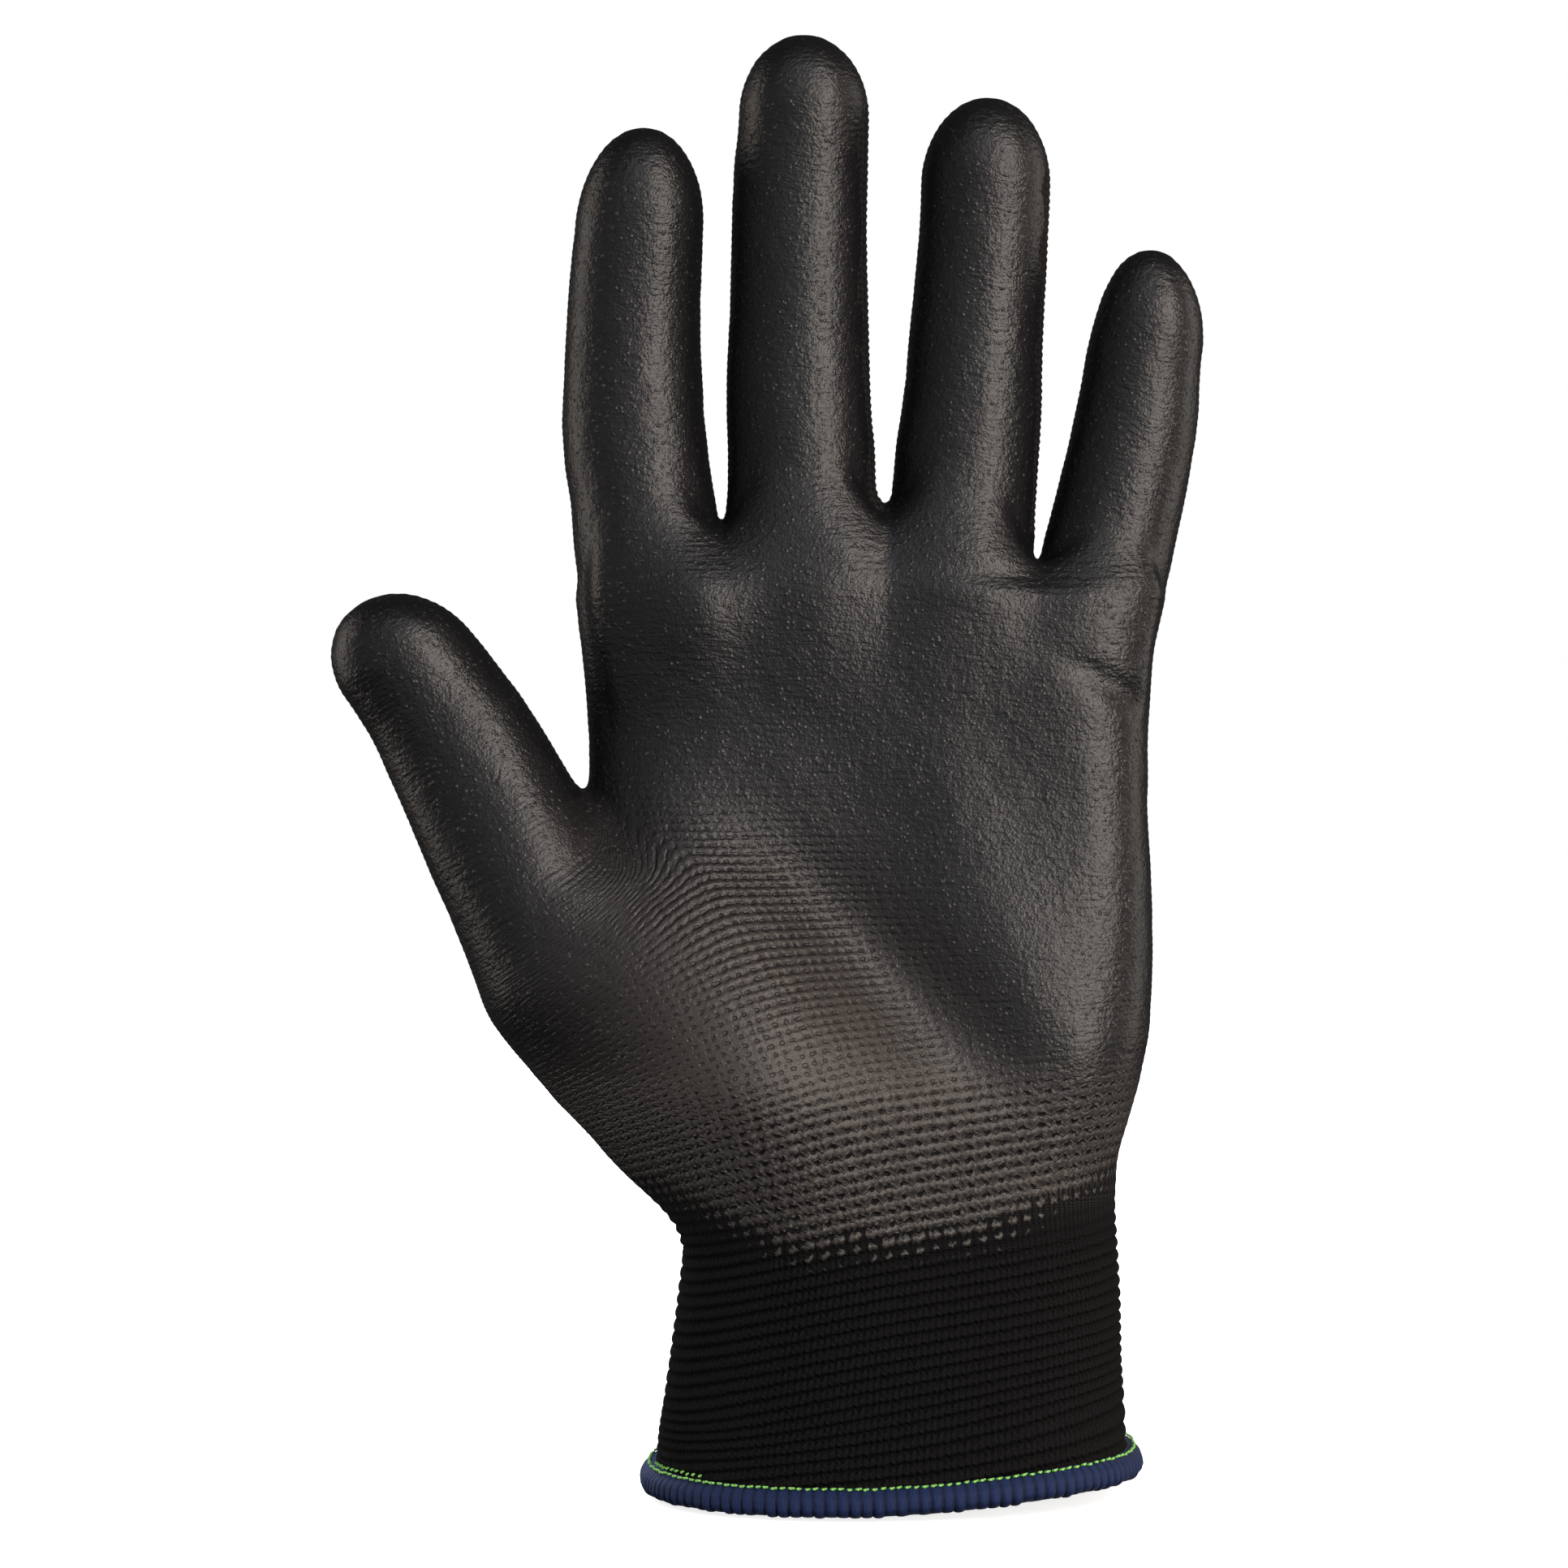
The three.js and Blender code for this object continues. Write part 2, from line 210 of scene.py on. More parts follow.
class Digit:
    """A finger or thumb: an oval tube along its own axis, with a rounded tip and a rounded root."""

    def __init__(self, name, joint_names, rows, dome, height, root):
        self.name = name
        self.joints = [JOINTS[f"{name}_{j}"] for j in joint_names]
        first, last = (np.array(self.joints[i]["pos_m"]) / MM for i in (0, -1))
        along = np.array([last[0] - first[0], last[2] - first[2]])
        self.direction = along / np.hypot(*along)
        self.origin = np.array([first[0], first[2]])
        rows = np.array(rows, float)
        s, u = self.frame(rows[:, 0], rows[:, 2])
        lean = abs(self.direction[1]) if name != "thumb" else 1.0
        self.u0 = spline(s, u)
        self.v0 = spline(s, rows[:, 1])
        self.wide = spline(s, rows[:, 3] * lean)
        self.deep = spline(s, rows[:, 4])
        self.dome, self.height, self.root = dome, height, root
        self.tip = dome + height
        self.at = [self.frame(j["pos_m"][0] / MM, j["pos_m"][2] / MM)[0] for j in self.joints]
        self.columns = round(TAU * float(self.wide(0)) / WALE)

    def frame(self, x, z):
        """(distance along the axis from the first joint, distance across it) of points."""
        dx, dz = x - self.origin[0], z - self.origin[1]
        a, b = self.direction
        return dx * a + dz * b, dx * b - dz * a

    def local(self, p):
        """(along, across, depth) of points from the digit's own middle line."""
        s, u = self.frame(p[..., 0], p[..., 2])
        return s, u - self.u0(s), p[..., 1] - self.v0(s)

    def radial(self, p):
        """How far out points are across the digit: 1 on its side."""
        s, u, v = self.local(p)
        n = DIGIT_SQUARE
        return (np.abs(u / self.wide(s)) ** n + np.abs(v / self.deep(s)) ** n) ** (1 / n)

    def distance(self, p):
        """Signed distance from the digit's surface, close to it."""
        s, u, v = self.local(p)
        a, b = self.wide(s), self.deep(s)
        above_dome, below_root = np.maximum(s - self.dome, 0), np.maximum(self.root - s, 0)
        top, low = above_dome / self.height, below_root / (1.5 * a)
        q = np.maximum((self.radial(p) ** 2 + top**2 + low**2) ** 0.5, 1e-3)
        reach = np.sqrt(u * u + v * v + above_dome**2 + below_root**2)
        return np.where(q > 0.2, reach * (1 - 1 / q), -0.8 * np.minimum(a, b))

    def place(self, s):
        """The point in the row frame, in metres, at distance s along the digit's straight axis."""
        x, z = self.origin + s * self.direction
        return (x * MM, 0.0, z * MM)

    def stitches(self, p):
        """(column, row) of the knit at points."""
        s, u, v = self.local(p)
        turn = np.arctan2(u / self.wide(s), -v / self.deep(s)) / TAU
        return turn * self.columns, s / FINGER_COURSE


# Each row: x, y, z of the middle line, half width and half depth there, the half width measured
# level. After the rows: where the rounded tip starts, its height, and where the rounded root ends.
FINGER_JOINTS = ("bend_root", "bend_middle", "bend_end")
FINGERS = [
    Digit("index", FINGER_JOINTS, [
        (-38.6, 0.0, 137.6, 11.0, 10.5), (-40.6, 0.0, 157.6, 12.2, 11.6), (-41.1, 0.0, 163, 12.1, 11.3),
        (-42.3, -0.1, 171.1, 12.0, 11.0), (-42.9, -0.3, 179.2, 11.7, 10.7), (-42.9, -0.6, 187.3, 11.3, 10.4),
        (-42.7, -1.1, 195.4, 11.0, 10.1), (-42.2, -1.9, 203.5, 10.8, 9.9), (-41.8, -2.6, 209.1, 10.6, 9.7),
        (-41.0, -4.4, 223.6, 10.4, 9.5)], 40.0, 16.0, -27.0),
    Digit("middle", FINGER_JOINTS, [
        (-14.2, 0.0, 137.6, 11.4, 10.8), (-14.7, 0.0, 159.6, 12.9, 11.8), (-14.9, 0.0, 167, 12.3, 11.3),
        (-14.9, -0.1, 171.1, 12.2, 11.1), (-15.3, -0.3, 179.2, 12.0, 10.9), (-15.4, -0.5, 187.3, 11.8, 10.7),
        (-15.3, -0.7, 195.4, 11.5, 10.5), (-15.3, -1.3, 207.5, 11.2, 10.2), (-15.1, -2.0, 217.6, 11.1, 10.0),
        (-14.6, -3.2, 227.6, 10.7, 9.8), (-14.6, -4.6, 239.6, 10.6, 9.6)], 57.5, 12.7, -28.0),
    Digit("ring", FINGER_JOINTS, [
        (10.8, 0.0, 137.6, 11.0, 10.4), (11.7, 0.0, 157.6, 12.1, 11.5), (12.1, 0.0, 164.6, 11.95, 11.2),
        (12.6, -0.1, 171.1, 11.9, 10.9), (13.4, -0.3, 179.2, 11.6, 10.6), (13.9, -0.5, 187.3, 11.2, 10.3),
        (14.4, -0.8, 195.4, 10.95, 10.1), (15.0, -1.4, 203.5, 10.8, 9.9), (15.4, -2.2, 211.6, 10.7, 9.7),
        (16.1, -4.0, 227.6, 10.6, 9.5)], 47.6, 14.0, -27.0),
    Digit("little", FINGER_JOINTS, [
        (31.0, 0.0, 131.6, 9.4, 9.0), (35.4, 0.0, 152.6, 10.9, 10.6), (37.2, 0.0, 160.6, 10.75, 10.1),
        (38.6, -0.1, 166.6, 10.65, 9.8), (39.6, -0.3, 171.6, 10.45, 9.5), (41.0, -0.6, 179.2, 10.2, 9.2),
        (41.9, -1.1, 187.3, 9.65, 8.9), (42.7, -1.7, 192.6, 9.3, 8.7), (43.4, -3.2, 203.6, 9.1, 8.5)],
        28.8, 15.1, -24.0),
]
# The thumb's rows are in its own frame: along, depth, across, half width, half depth.
THUMB_ROWS = np.array([
    (-75, -1.5, 12, 11.0, 11.0), (-57, -2.4, 8, 18.3, 14.2), (-46, -3.4, 5.6, 19.2, 16.0),
    (-41, -4.0, 4.3, 18.9, 16.6), (-31, -4.8, 1.9, 18.1, 17.2), (-22, -5.2, 0.8, 16.0, 16.4),
    (-14, -5.6, 0.4, 14.7, 15.0), (-5, -5.8, 0.2, 14.0, 13.5), (4, -6.0, 0.4, 13.4, 12.2),
    (12.6, -6.3, 0.5, 12.7, 11.5), (19.7, -6.8, 0.1, 11.95, 11.0), (24.5, -7.4, -0.5, 11.75, 10.7),
    (28, -8.0, -1.0, 11.6, 10.5), (38, -9.6, -2.2, 11.4, 10.3),
])
_root, _end = (np.array(JOINTS[f"thumb_{j}"]["pos_m"]) / MM for j in ("bend_root", "bend_end"))
_axis = np.array([_end[0] - _root[0], _end[2] - _root[2]])
_axis /= np.hypot(*_axis)
THUMB = Digit("thumb", ("bend_root", "bend_end"), [
    (_root[0] + s * _axis[0] + u * _axis[1], y, _root[2] + s * _axis[1] - u * _axis[0], w, d)
    for s, y, u, w, d in THUMB_ROWS], 27.0, 12.3, -62.0)
DIGITS = FINGERS + [THUMB]


def hand_section(p):
    """Points across the hand's oval section: 1 at its left and right edges, 1 at its front and back."""
    x, y, z = p[..., 0], p[..., 1], p[..., 2]
    left, right = hand_left(z), hand_right(z)
    wide = (right - left) / 2
    deep = hand_deep(z) + np.where(y < 0, mounds(x, z, PALM_RELIEF), 0)
    return (x - (left + right) / 2) / wide, y / deep, wide, deep


def hand_square(x, z):
    """The exponent of the hand's oval at points."""
    return HAND_SQUARE + EDGE_SQUARE * smooth(12, 34, x) * smooth(52, 76, z)


def hand_distance(p):
    """Signed distance from the hand and cuff without the digits, close to them."""
    z = p[..., 2]
    across, front, wide, deep = hand_section(p)
    across, front = np.abs(across) + 1e-4, np.abs(front) + 1e-4
    n = hand_square(p[..., 0], z)
    q = (across**n + front**n) ** (1 / n)
    gx = q ** (1 - n) * across ** (n - 1) / wide
    gy = q ** (1 - n) * front ** (n - 1) / deep
    height = web_top(p[..., 0]) - HAND_DOME
    top = np.maximum(z - HAND_DOME, 0) / height
    q3 = np.sqrt(q * q + top * top)
    grade = np.sqrt(gx**2 + gy**2 + (top / np.maximum(q3, 1e-3) / height) ** 2)
    return np.clip((q3 - 1) / np.maximum(grade, 0.02), -14, 60)


def join(a, b, k):
    """Smooth union of two distances, rounded over about k."""
    h = np.maximum(k - np.abs(a - b), 0) / k
    return np.minimum(a, b) - h * h * k / 4


def distance(p):
    """Signed distance from the glove's plain shape.

    Fingers flow into the palm and the back of the hand, but not into the web between them.
    """
    fingers = FINGERS[0].distance(p)
    for digit in FINGERS[1:]:
        fingers = join(fingers, digit.distance(p), BETWEEN)
    flow = PALM_FLOW * smooth(5, 11, np.abs(p[..., 1]))
    d = join(hand_distance(p), fingers, FINGER_JOIN + flow)
    thumb_flow = THUMB_FLOW * smooth(3, 10, np.abs(p[..., 1])) * smooth(118, 82, p[..., 2])
    return join(d, THUMB.distance(p), THUMB_JOIN + thumb_flow)


def gradient(p):
    """Outward unit normal of the shape at points (n, 3)."""
    g = np.empty_like(p)
    for i in range(3):
        shift = np.zeros(3)
        shift[i] = 0.25
        g[:, i] = distance(p + shift) - distance(p - shift)
    return g / np.maximum(np.linalg.norm(g, axis=1, keepdims=True), 1e-9)


# ---- the knit: which column and row of stitches each point is in ----

FAN_START = spline((47.6, 67.6, 83.6, 94.6, 104.6, 113.6, 119.6), (2, 0, -12, -22, -31, -44, -60))
FAN_CURVE = spline((47.6, 67.6, 83.6, 94.6, 104.6, 113.6), (200, 110, 55, 24, 8, 8))  # radius in mm
FAN_STEEPEST = 1.2
THUMB_SHIFT = 140.6  # rows of the thumb follow on from rows of the palm
course_tilt = spline((0, 7, 16, 50, 73, 98), (0.03, 0.06, CUFF_TILT, CUFF_TILT, 0.08, 0.0))
course_size = spline((37.6, 60.0, 76.0, 127.6, 157.6), (CUFF_COURSE, 2.0, COURSE, COURSE, FINGER_COURSE))
_heights = np.arange(-20.0, 260.0, 0.25)
_rows = np.concatenate([[0], np.cumsum(0.25 / course_size(_heights))])[:-1]


def hand_stitches(p):
    """(column, row) of the knit on the hand and cuff. Rows sweep up round the ball of the thumb."""
    x, z = p[:, 0], p[:, 2]
    across, front, _, _ = hand_section(p)
    turn = np.arctan2(across, -front) / TAU
    reach = np.maximum(FAN_START(z) - x, 0)
    curve = FAN_CURVE(z)
    steep = FAN_STEEPEST * curve
    fan = np.where(reach < steep, reach**2 / (2 * curve), FAN_STEEPEST * (reach - steep / 2))
    level = z + fan - course_tilt(z) * x
    s, _, _ = THUMB.local(p)
    on_thumb = smooth(-34, -8, s) * smooth(1.3, 1.0, THUMB.radial(p))
    level = level + on_thumb * (s + THUMB_SHIFT - level)
    return turn * WALES, np.interp(level, _heights, _rows)


# ---- film: how far inside its edge each point is ----

FILM_WRAP = 2.5  # how far round the sides the film reaches, from the middle line
FILM_SHORT = -4.8  # the same where it stops short, on the right of the middle and ring fingers
THUMB_WRAP = 3.0  # how much farther round it reaches on the thumb
TIP_DIP = 11.0  # length of fingertip covered all round
film_low = spline((-60, -34, -14, 0, 20, 39, 50), (47.6, 42.0, 35.6, 35.4, 39.4, 47.4, 50.0))
FILM_FADE = 14.0  # length over which the film thins out at the heel


def film_cover(p, owner):
    """1 under solid film, 0 on bare knit. owner is the digit a point is on, or None for the hand."""
    x, y, z = p[:, 0], p[:, 1], p[:, 2]
    wander = 0.7 * noise(p, 6.0) + 0.25 * noise(p, 1.6, 3.3)
    if owner is None:
        inside = FILM_WRAP - y + wander
        heel = (z - film_low(x) + 2.2 * wander) / FILM_FADE
        return smooth(-0.5, 0.5, inside) * smooth(0, 1, heel)
    s, u, v = owner.local(p)
    edge = np.full(len(p), FILM_WRAP)
    if owner.name == "thumb":
        edge += THUMB_WRAP
    if owner.name in ("middle", "ring"):
        edge = np.where(u > 0, FILM_SHORT, FILM_WRAP)
    side, cap = edge - v, s - (owner.tip - TIP_DIP)
    inside = (side + cap + np.sqrt((side - cap) ** 2 + 9)) / 2 + 1.5 * wander
    return smooth(-0.5, 0.5, inside - 0.3)


# ---- fine shape of the surface ----

SERRATION = 0.11  # height of the rows of stitches along a digit's sides
RIB = 0.09  # height of the ribs over the ball of the thumb
BALL = (-22, 93, 15, 10, -40)  # where those ribs are strongest: a place, as bump takes it
# The fabric colour is lighter where the film is thin: partly the thin film's own colour, partly a painted
# highlight.
THIN = (-18, 78, 24, 16, -42)  # where the film is thinnest on the hand


def knit_show(p, normal, owner):
    """Three values from 0 to 1 at each point.

    They are how strongly rows of stitches show through the film, how strongly single loops do, and
    how thin the film is.
    """
    x, z = p[:, 0], p[:, 2]
    side = smooth(0.55, 0.95, 1 - np.abs(normal[:, 1])) * 0.4
    if owner is not None:
        return np.maximum(side, 0.05), side * 0.5, np.zeros(len(p))
    ball = bump(x, z, BALL) * 1.2 * smooth(-47, -38, x)
    heel = smooth(74, 56, z) * (0.7 + 0.3 * smooth(30, 10, x))
    palm = 0.04 + 0.08 * smooth(33, 42, x) + 0.06 * smooth(-36, -46, x)
    loops = np.maximum(smooth(73, 60, z), 0.3 * side)
    thin = np.clip(bump(x, z, THIN) * 1.3 + smooth(76, 60, z), 0, 1)
    return np.clip(np.maximum(np.maximum(ball, heel), np.maximum(side, palm)), 0, 1), loops, thin


def ridged(p, owner):
    """1 where laid-in elastic pulls the rows into ridges, 0 on the hand."""
    return smooth(51, 40, p[:, 2]) if owner is None else np.zeros(len(p))


def fine_height(p, owner, stitches, cover, show, loops):
    """How far the surface stands out from the plain shape, mm."""
    column, row = stitches
    rows, columns = np.cos(TAU * row), np.cos(TAU * column)
    if owner is not None:
        knit = SERRATION * rows + 0.04 * columns
    else:
        low = ridged(p, owner)
        ridges = RIDGE * ((0.5 + 0.5 * rows) ** 0.6 - 0.6) * (1 + 0.12 * columns)
        knit = low * ridges + (1 - low) * (RIB * rows * (1 - 0.6 * loops) + 0.07 * loops * columns)
    height = knit * (1 - cover + cover * show)
    return height + 0.05 * noise(p, 2.6, 5.1) + 0.12 * noise(p, 9.0, 1.7)


# ---- meshes ----

def surface(step, low_z, inset=0.0):
    """The hand's surface above low_z, moved in by inset, as (points, quads)."""
    low = np.array([-98.0, -36.0, low_z - 4])
    high = np.array([56.0, 36.0, 247.0])
    count = np.ceil((high - low) / step).astype(int)
    axes = [low[i] + step * np.arange(count[i]) for i in range(3)]
    values = np.empty(count, np.float32)
    for k in range(count[0]):
        y, z = np.meshgrid(axes[1], axes[2], indexing="ij")
        values[k] = distance(np.stack([np.full_like(y, axes[0][k]), y, z], -1))
    grid = openvdb.FloatGrid()
    grid.background = 10.0
    grid.copyFromArray(np.clip(values + inset, -10, 10))
    points, quads = grid.convertToQuads(0.0)
    return points * step + low, quads


def edges_of(quads):
    """The four edges of every quad, as pairs of points in rising order."""
    return np.sort(np.stack([quads, np.roll(quads, -1, axis=1)], -1).reshape(-1, 2), axis=1)


def halve(points, quads):
    """Splits every quad into four."""
    n = len(points)
    unique, index = np.unique(edges_of(quads), axis=0, return_inverse=True)
    index = index.reshape(-1, 4) + n
    centre = np.arange(len(quads)) + n + len(unique)
    new = [np.stack([quads[:, i], index[:, i], centre, index[:, i - 1]], -1) for i in range(4)]
    return np.concatenate([points, points[unique].mean(1), points[quads].mean(1)]), np.concatenate(new)


def settle(points, times=2):
    """Pulls points onto the shape."""
    for _ in range(times):
        points = points - np.clip(distance(points), -1, 1)[:, None] * gradient(points)
    return points


def compact(points, quads):
    """Drops the points that no quad uses."""
    used, index = np.unique(quads, return_inverse=True)
    return points[used], index.reshape(quads.shape)


def above(points, quads, low_z):
    """The quads above a height, with their lower edge brought level with it."""
    points, quads = compact(points, quads[points[quads][:, :, 2].mean(1) > low_z])
    unique, times = np.unique(edges_of(quads), axis=0, return_counts=True)
    open_edge = np.unique(unique[times == 1])
    points[open_edge, 2] = low_z
    return points, quads


def point_normals(points, quads):
    """Smooth unit normals at points, weighted by area."""
    a, b, c, d = (points[quads[:, i]] for i in range(4))
    face = np.cross(c - a, d - b)
    total = np.zeros_like(points)
    for i in range(4):
        for axis in range(3):
            total[:, axis] += np.bincount(quads[:, i], face[:, axis], len(points))
    return total / np.maximum(np.linalg.norm(total, axis=1, keepdims=True), 1e-12)


def grid_quads(rows, columns):
    """Quads of a closed band of points, row after row. Its last column joins its first."""
    i = np.arange(rows - 1)[:, None]
    j = np.arange(columns)[None, :]
    k = (j + 1) % columns
    corners = (i * columns + j, i * columns + k, (i + 1) * columns + k, (i + 1) * columns + j)
    return np.stack(corners, -1).reshape(-1, 4)


def ring(heights, turns, inset=0.0):
    """Points on the cuff at given heights and turns about its middle, row after row."""
    z, turn = np.meshgrid(heights, turns, indexing="ij")
    left, right = hand_left(z), hand_right(z)
    side = np.stack([np.sin(turn) * (right - left) / 2, -np.cos(turn) * hand_deep(z)], -1)
    centre = np.stack([(left + right) / 2, np.zeros_like(z), z], -1)
    n = HAND_SQUARE
    reach = (np.abs(np.sin(turn)) ** n + np.abs(np.cos(turn)) ** n) ** (-1 / n)
    toward = np.concatenate([side, np.zeros_like(z)[..., None]], -1)
    length = np.linalg.norm(toward, axis=-1)
    for _ in range(6):
        here = distance(centre + toward * reach[..., None]) + inset
        reach = reach - np.clip(here, -4, 4) / length
    return (centre + toward * reach[..., None]).reshape(-1, 3)


# ---- pieces ----

FIELDS = ("cover", "show", "loops", "thin", "ridge")  # what the materials read at each point


class Skin:
    """Points and quads with the knit's columns and rows, film cover and normals, cut into pieces."""

    def __init__(self, points, quads, owners):
        """owners is, for each quad, the index in DIGITS of the digit it is on, or -1 for the hand."""
        self.quads = quads
        self.rest = points
        base = point_normals(points, quads)
        n = len(points)
        self.stitches = {}
        self.fields = {name: np.zeros(n) for name in FIELDS}
        total, weight = np.zeros(n), np.zeros(n)
        for index in [-1] + list(range(len(DIGITS))):
            here = np.unique(quads[owners == index])
            if not len(here):
                continue
            owner = DIGITS[index] if index >= 0 else None
            p = points[here]
            stitches = np.zeros((2, n))
            stitches[:, here] = hand_stitches(p) if owner is None else owner.stitches(p)
            self.stitches[index] = stitches
            cover = film_cover(p, owner)
            show, loops, thin = knit_show(p, base[here], owner)
            total[here] += fine_height(p, owner, stitches[:, here], cover, show, loops)
            weight[here] += 1
            for name, value in zip(FIELDS, (cover, show, loops, thin, ridged(p, owner))):
                self.fields[name][here] = value
        self.points = points + base * (total / np.maximum(weight, 1))[:, None]
        front = base[:, 1] < 0
        x, z = self.points[:, 0], self.points[:, 2]
        self.points[:, 1] -= np.where(front, mounds(x, z, CREASES), 0) * np.clip(-base[:, 1], 0, 1)
        self.normals = point_normals(self.points, quads)
        self.owners = owners

    def part(self, chosen, index):
        """The chosen quads, all on one owner, as a dict of what a mesh needs."""
        used, quads = np.unique(self.quads[chosen], return_inverse=True)
        column, row = self.stitches[index][:, used]
        return {
            "points": self.points[used], "quads": quads.reshape(-1, 4), "normals": self.normals[used],
            "rest": self.rest[used], **{name: self.fields[name][used] for name in FIELDS},
            "column": column, "row": row, "columns": DIGITS[index].columns if index >= 0 else WALES,
        }


def put(obj):
    """Puts an object in the scene."""
    bpy.context.scene.collection.objects.link(obj)
    return obj


def make_piece(name, part, material, nodes):
    """A mesh object from a part, with its knit coordinates, attributes and normals."""
    mesh = bpy.data.meshes.new(name)
    mesh.from_pydata((part["points"] * MM).tolist(), [], part["quads"].tolist())
    mesh.polygons.foreach_set("use_smooth", np.ones(len(mesh.polygons), bool))
    column = part["column"][part["quads"]]
    column = column + np.round((column[:, :1] - column) / part["columns"]) * part["columns"]
    knit = np.stack([column, part["row"][part["quads"]]], -1)
    layer = mesh.uv_layers.new(name="knit")
    layer.data.foreach_set("uv", knit.astype(np.float32).ravel())
    for key in FIELDS:
        attribute = mesh.attributes.new(key, "FLOAT", "POINT")
        attribute.data.foreach_set("value", part[key].astype(np.float32))
    rest = mesh.attributes.new("rest", "FLOAT_VECTOR", "POINT")
    rest.data.foreach_set("vector", part["rest"].astype(np.float32).ravel())
    mesh.normals_split_custom_set_from_vertices(part["normals"].tolist())
    obj = put(bpy.data.objects.new(name, mesh))
    mesh.materials.append(material)
    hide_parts(*nodes)
    return obj


def plain_part(points, quads, normals, knit, columns, field=0.0, rest=None):
    """A part with the same value in every field. knit is (column, row), columns the whole round."""
    return {
        "points": points, "quads": quads, "normals": normals, "rest": points if rest is None else rest,
        **{name: field + np.zeros(len(points)) for name in FIELDS},
        "column": knit[0], "row": knit[1], "columns": columns,
    }


def joined(part, other):
    """Two parts as one."""
    n = len(part["points"])
    both = {k: np.concatenate([part[k], other[k]]) for k in part if k not in ("quads", "columns")}
    both["quads"] = np.concatenate([part["quads"], other["quads"] + n])
    both["columns"] = part["columns"]
    return both


# ---- materials ----

class Value:
    """A number in a material's node tree. Arithmetic on it adds Math nodes."""

    def __init__(self, socket):
        self.socket = socket

    def math(self, operation, *others):
        node = self.socket.id_data.nodes.new("ShaderNodeMath")
        node.operation = operation
        for entry, value in zip(node.inputs, (self, *others)):
            connect(entry, value)
        return Value(node.outputs[0])

    def __add__(self, other):
        return self.math("ADD", other)

    def __sub__(self, other):
        return self.math("SUBTRACT", other)

    def __mul__(self, other):
        return self.math("MULTIPLY", other)

    def wave(self):
        """The cosine of that many whole turns, from 0 to 1."""
        return (self * TAU).math("COSINE") * 0.5 + 0.5

    def step(self, low, high):
        """0 below low and 1 above high, smoothly."""
        node = self.socket.id_data.nodes.new("ShaderNodeMapRange")
        node.interpolation_type = "SMOOTHSTEP"
        connect(node.inputs["Value"], self)
        node.inputs["From Min"].default_value = low
        node.inputs["From Max"].default_value = high
        return Value(node.outputs["Result"])

    def mix(self, low, high):
        """low where this is 0, high where it is 1. Both are numbers or Values."""
        return (high - low) * self + low if isinstance(high, Value) else self * (high - low) + low


def connect(entry, value):
    if isinstance(value, Value):
        entry.id_data.links.new(value.socket, entry)
    else:
        entry.default_value = value


class Material:
    """A material being built: its node tree and its Principled shader."""

    def __init__(self, name, **sockets):
        self.made = bpy.data.materials.new(name)
        self.made.use_nodes = True
        self.tree = self.made.node_tree
        self.shader = self.tree.nodes["Principled BSDF"]
        for key, value in sockets.items():
            self.shader.inputs[key.replace("_", " ")].default_value = value

    def attribute(self, name, output="Fac"):
        node = self.tree.nodes.new("ShaderNodeAttribute")
        node.attribute_name = name
        return Value(node.outputs[output])

    def knit(self):
        """(column, row) of the knit at the point."""
        uv = self.tree.nodes.new("ShaderNodeUVMap")
        uv.uv_map = "knit"
        split = self.tree.nodes.new("ShaderNodeSeparateXYZ")
        self.tree.links.new(uv.outputs[0], split.inputs[0])
        return Value(split.outputs[0]), Value(split.outputs[1])

    def stretched(self, *values):
        """A vector of three values."""
        node = self.tree.nodes.new("ShaderNodeCombineXYZ")
        for entry, value in zip(node.inputs, values):
            connect(entry, value)
        return Value(node.outputs[0])

    def noise(self, where, size, detail=2.0):
        """Smooth noise from 0 to 1 with features about size across."""
        node = self.tree.nodes.new("ShaderNodeTexNoise")
        connect(node.inputs["Vector"], where)
        node.inputs["Scale"].default_value = 1 / size
        node.inputs["Detail"].default_value = detail
        return Value(node.outputs["Fac"])

    def dots(self, where, size):
        """Distance from the nearest of many scattered points about size apart."""
        node = self.tree.nodes.new("ShaderNodeTexVoronoi")
        connect(node.inputs["Vector"], where)
        node.inputs["Scale"].default_value = 1 / size
        return Value(node.outputs["Distance"])

    def colour(self, amount, stops):
        """Colours along amount from 0 to 1: stops is (place, (r, g, b)) pairs."""
        node = self.tree.nodes.new("ShaderNodeValToRGB")
        connect(node.inputs[0], amount)
        ramp = node.color_ramp.elements
        while len(ramp) < len(stops):
            ramp.new(0.5)
        for element, (place, rgb) in zip(ramp, stops):
            element.position = place
            element.color = (*rgb, 1)
        self.tree.links.new(node.outputs[0], self.shader.inputs["Base Color"])

    def finish(self, height, roughness):
        """Bump from a height in mm, and roughness."""
        node = self.tree.nodes.new("ShaderNodeBump")
        node.inputs["Distance"].default_value = MM
        connect(node.inputs["Height"], height)
        self.tree.links.new(node.outputs[0], self.shader.inputs["Normal"])
        connect(self.shader.inputs["Roughness"], roughness)
        return self.made


def stitch_shape(column, row):
    """Two slanting legs to a stitch: height from 0 between the yarns to 1 on top of them."""
    side = (column.math("FRACT") - 0.5).math("ABSOLUTE") * 2
    legs = (side * math.pi).math("SINE").math("MAXIMUM", 0.0).math("POWER", 0.6)
    along = (row + side * 0.6).wave()
    return legs * (along * 0.65 + 0.35)


# Places run from 0, painted shade deep between stitches, to 1, a painted highlight where thin film shines
# over the top of a stitch; between them lies the fabric's own near-black.
FABRIC_SHADE_TO_HIGHLIGHT = (
    (0.0, (0.0012, 0.0012, 0.0012)),
    (0.4, (0.0082, 0.0080, 0.0090)),
    (0.8, (0.034, 0.030, 0.028)),
    (1.0, (0.058, 0.051, 0.046)),
)
SHADING_SCALE = 0.8  # from the sums below to places in that list
LOOP_WIDTH = 0.8  # columns of the loops that show through the film to one column of the knit


